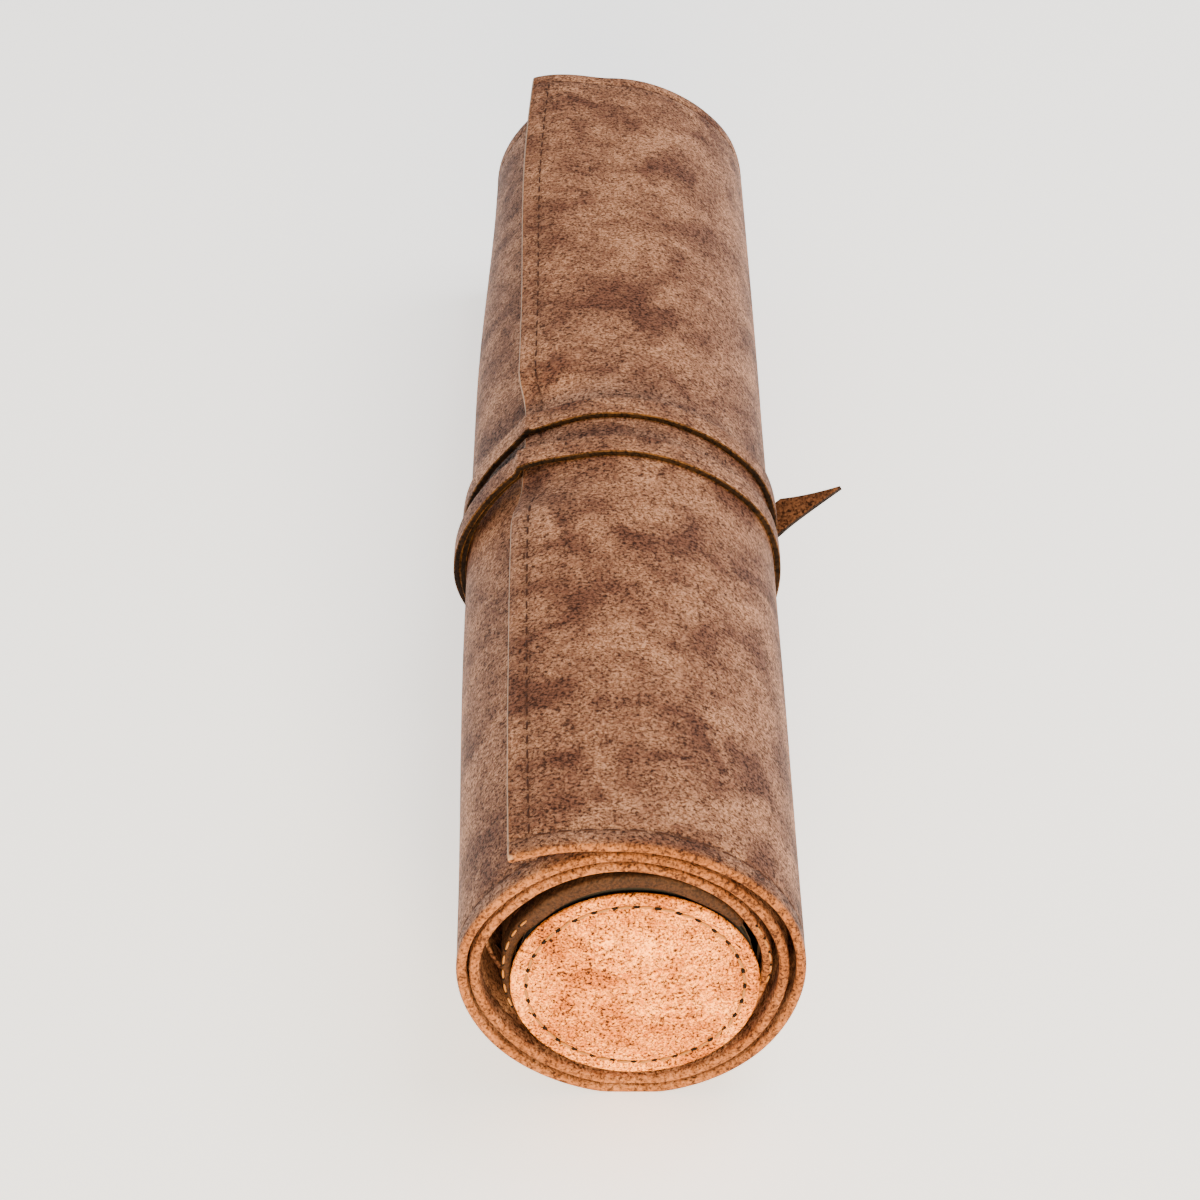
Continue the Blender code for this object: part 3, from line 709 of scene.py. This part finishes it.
def makeDisc(name, far):
    bm = bmesh.new()
    verts = [bm.verts.new((radius, depth, 0)) for radius, depth in discProfile()]
    edges = [bm.edges.new(pair) for pair in zip(verts, verts[1:])]
    bmesh.ops.spin(bm, geom=verts + edges, cent=(0, 0, 0), axis=(0, 1, 0), angle=2 * math.pi, steps=128,
                   use_merge=True)
    bmesh.ops.remove_doubles(bm, verts=bm.verts, dist=0.002 * mm)
    tallness = pouch["discTall"] / pouch["discWide"]
    for v in bm.verts:
        reach = math.hypot(v.co.x, v.co.z) / pouch["discWide"]
        soft = noise.noise(Vector((v.co.x * 170, v.co.z * 170, 3.0 + far))) * 0.10 * mm
        depth = v.co.y + soft * (1 - reach ** 3) * (1 if v.co.y < disc["thick"] * 0.7 else 0)
        depth = max(depth, 0.0) + disc["front"]
        y = roll["length"] - depth if far else depth
        v.co = (v.co.x + pouch["x"] + roll["axisX"], y - roll["length"] / 2,
                v.co.z * tallness + pouch["z"] + roll["axisZ"])
    bmesh.ops.recalc_face_normals(bm, faces=bm.faces)
    panel = finishPiece(name, bm, [leatherDiscPaintedLight])
    seats = []
    sign = 1 if far else -1
    base = disc["crown"] * (disc["seamRadius"] / pouch["discWide"]) ** 2 + disc["seamDepth"] * 0.55
    for i in range(disc["stitches"]):
        a = 2 * math.pi * (i + 0.5) / disc["stitches"]
        depth = base + disc["front"]
        y = roll["length"] - depth if far else depth
        middle = Vector((pouch["x"] + roll["axisX"] + disc["seamRadius"] * math.cos(a),
                         y - roll["length"] / 2,
                         pouch["z"] + roll["axisZ"] + disc["seamRadius"] * tallness * math.sin(a)))
        twist = random.uniform(-0.09, 0.09) + 0.10
        along = Vector((-math.sin(a + twist), 0, math.cos(a + twist)))
        seats.append((middle, along, Vector((0, sign, 0))))
    bm = bmesh.new()
    stitchRow(bm, seats, disc["stitch"], disc["hole"])
    finishPiece(name + "Seam", bm, [threadLight, holeShadePainted])
    return panel


for discName, far, node in (("endDiscNear", 0, "end_panel_near"), ("endDiscFar", 1, "end_panel_far")):
    panel = makeDisc(discName, far)
    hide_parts(node)
print("end discs ready")

strap = {"width": 4.4 * mm, "thick": 0.95 * mm, "start": 131.6, "exit": 1068.0, "flapEdge": 129.0,
         "bridgeEnd": 178.0, "across": (-1, -0.72, -0.35, 0, 0.35, 0.72, 1),
         "rootInset": 0.35 * mm, "lift": 0.06 * mm, "round": 0.15 * mm, "clear": 0.02 * mm}
strapRoute = [                  # winding angle, distance of the centre line from the near end in millimetres
    (131, 88.0), (150, 88.0), (235, 85.6), (300, 85.6), (360, 86.6), (520, 86.6), (600, 91.2), (650, 91.2),
    (715, 96.6), (880, 96.6), (960, 97.2), (1030, 97.6), (1068, 101.4)]
strapLevels = [                 # winding angle, number of layers of strap underneath
    (131, 0), (466, 0), (489, 1), (574, 1), (592, 0), (1068, 0)]


def strapRadius(total):
    level = steps(strapLevels, total) * (strap["thick"] + strap["clear"])
    angle = total % 360
    rest = outerSurface(angle) + strap["lift"] + level
    edge = innerRadius(roll["flapEnd"]) - roll["flapDrop"]
    corner = edge + (strap["rootInset"] if total < 200 else roll["sheet"] + strap["lift"])
    base = outerSurface(strap["bridgeEnd"]) + strap["lift"] + level
    if strap["flapEdge"] - 1 <= angle < strap["bridgeEnd"]:     # taut from the flap's edge down to the roll
        reach = math.degrees(math.acos(min(1.0, base / corner)))
        if angle < strap["flapEdge"] + reach:
            return base / math.cos(math.radians(strap["flapEdge"] + reach - angle))
        return max(rest, base)
    return rest


def strapPoint(total, across, height):
    y = steps(strapRoute, total) * mm + across
    return rollPoint(total, strapRadius(total) + strap["thick"] * height, y)


def paintStrap(bm, thick):      # slot 0 grain side, 1 cut edge, 2 border, 3 suede side
    for f in bm.faces:
        c = f.calc_center_median()
        h = c.z / thick
        if abs(f.normal.z) > 0.95:
            f.material_index = 0 if f.normal.z > 0 else 3
        elif abs(f.normal.z) > 0.12:
            f.material_index = 2
        else:
            f.material_index = 1


strapMats = [leatherStrap, leatherEdge, leatherBorder, leatherSuede]


def makeStrap():
    bm = flatSlab(list(np.linspace(strap["start"], strap["exit"] - 1.0, 330)),
                  [v * strap["width"] / 2 for v in strap["across"]],
                  strap["thick"], strap["round"], 2)
    paintStrap(bm, strap["thick"])
    for v in bm.verts:
        total, across, h = v.co
        height = h / strap["thick"]
        crown = 0.05 * mm * (1 - (2 * across / strap["width"]) ** 2) if height > 0.5 else 0
        total = min(max(total, strap["start"]), strap["exit"])
        v.co = strapPoint(total, across, height + crown / strap["thick"])
    bmesh.ops.recalc_face_normals(bm, faces=bm.faces)
    return finishPiece("strapWound", bm, strapMats)


strapWound = makeStrap()
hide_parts("strap")

tail = {"rise": 30, "slope": 0.36, "run": 1.8 * mm, "length": 14 * mm, "ease": 3.0 * mm, "cut": 5.6 * mm,
        "twist": 34}


def tailPath():                 # curve of the tail's inner face, leaving the roll and rising away from it
    start = strapPoint(strap["exit"] - 1.0, 0, 0)
    before = strapPoint(strap["exit"] - 5.0, 0, 0)
    rise = math.radians(tail["rise"])
    along = Vector((math.cos(rise), tail["slope"], math.sin(rise))).normalized()
    tangent = (start - before).normalized()
    bend = start + tangent * tail["run"]
    return start, bend, bend + along * tail["ease"], bend + along * (tail["length"] - tail["run"])


tailPoints = tailPath()


def tailPoint(t, across, height):
    a, b, c, d = tailPoints
    u = 1 - t
    here = a * u ** 3 + b * 3 * u * u * t + c * 3 * u * t * t + d * t ** 3
    ahead = ((b - a) * u * u + (c - b) * 2 * u * t + (d - c) * t * t).normalized()
    side = (Vector((0, 1, 0)) - ahead * ahead.y * smooth(t * 3)).normalized()
    twist = Matrix.Rotation(math.radians(tail["twist"]) * smooth(t / 0.35), 3, ahead)
    side, normal = twist @ side, twist @ ahead.cross(side).normalized()
    return here + side * across - normal * strap["thick"] * height


def makeTail():
    half = strap["width"] / 2
    bm = flatSlab(list(np.linspace(0, 1, 36)), [v * half for v in strap["across"]],
                  strap["thick"], 0.0001 * mm, 1)
    paintStrap(bm, strap["thick"])
    for v in bm.verts:
        t, across, h = v.co
        t = min(max(t, 0), 1)
        slant = max(0, (t - 1) * tail["length"] / tail["cut"] + 1)      # 0 to 1 along the slanting cut
        across = (across + half) * (1 - 0.94 * slant) - half
        v.co = tailPoint(t, across, h / strap["thick"])
    bmesh.ops.recalc_face_normals(bm, faces=bm.faces)
    return finishPiece("strapTail", bm, strapMats, body=None)


strapTail = makeTail()
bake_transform(strapTail)
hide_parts("strap_tail")
print("strap wound")


def plainMaterial(name, colour, rough):
    mat = bpy.data.materials.new(name)
    mat.use_nodes = True
    shader = mat.node_tree.nodes["Principled BSDF"]
    shader.inputs["Base Color"].default_value = (*colour, 1)
    shader.inputs["Roughness"].default_value = rough
    return mat


bm = bmesh.new()
bmesh.ops.create_grid(bm, x_segments=1, y_segments=1, size=4.0)
paleFloor = plainMaterial("paleFloor", (0.92, 0.92, 0.92), 0.8)
floor = finishPiece("floor", bm, [paleFloor], body=None, shade=False)
floorShader = paleFloor.node_tree.nodes["Principled BSDF"]
floorShader.inputs["Emission Color"].default_value = (1, 1, 1, 1)
floorShader.inputs["Emission Strength"].default_value = 1.1

world = bpy.data.worlds.new("softWhite")
world.use_nodes = True
world.node_tree.nodes["Background"].inputs["Color"].default_value = (1, 1, 1, 1)
world.node_tree.nodes["Background"].inputs["Strength"].default_value = 0.65
scene.world = world


def areaLight(name, place, target, size, power, colour=(1, 1, 1)):
    light = bpy.data.lights.new(name, "AREA")
    light.shape = "RECTANGLE"
    light.size, light.size_y = size
    light.energy = power
    light.color = colour
    obj = bpy.data.objects.new(name, light)
    obj.location = place
    obj.rotation_euler = (Vector(target) - Vector(place)).to_track_quat("-Z", "Y").to_euler()
    scene.collection.objects.link(obj)


areaLight("frontKey", (0.05, -0.9, 0.20), (0, -0.1, 0.02), (0.5, 0.3), 30, (1.0, 0.75, 0.38))
areaLight("topSoft", (0.38, 0.1, 0.80), (0, 0, 0), (0.45, 0.6), 5.5)
areaLight("leftFill", (-0.8, 0.0, 0.35), (0, 0, 0), (0.5, 0.5), 0.4)
areaLight("rightFill", (0.8, 0.0, 0.35), (0, 0, 0), (0.5, 0.5), 0.8)

lens = {"focal": 91.54, "place": (-9.52 * mm, -380.62 * mm, 287.16 * mm), "turn": (53.377, -0.005, -0.196)}
cameraData = bpy.data.cameras.new("camera")
cameraData.lens = lens["focal"]
cameraData.sensor_width = 36
cameraData.clip_start = 0.01
cameraObject = bpy.data.objects.new("camera", cameraData)
cameraObject.location = lens["place"]
cameraObject.rotation_euler = Euler([math.radians(a) for a in lens["turn"]], "XYZ")
scene.collection.objects.link(cameraObject)
scene.camera = cameraObject
print("stage ready")
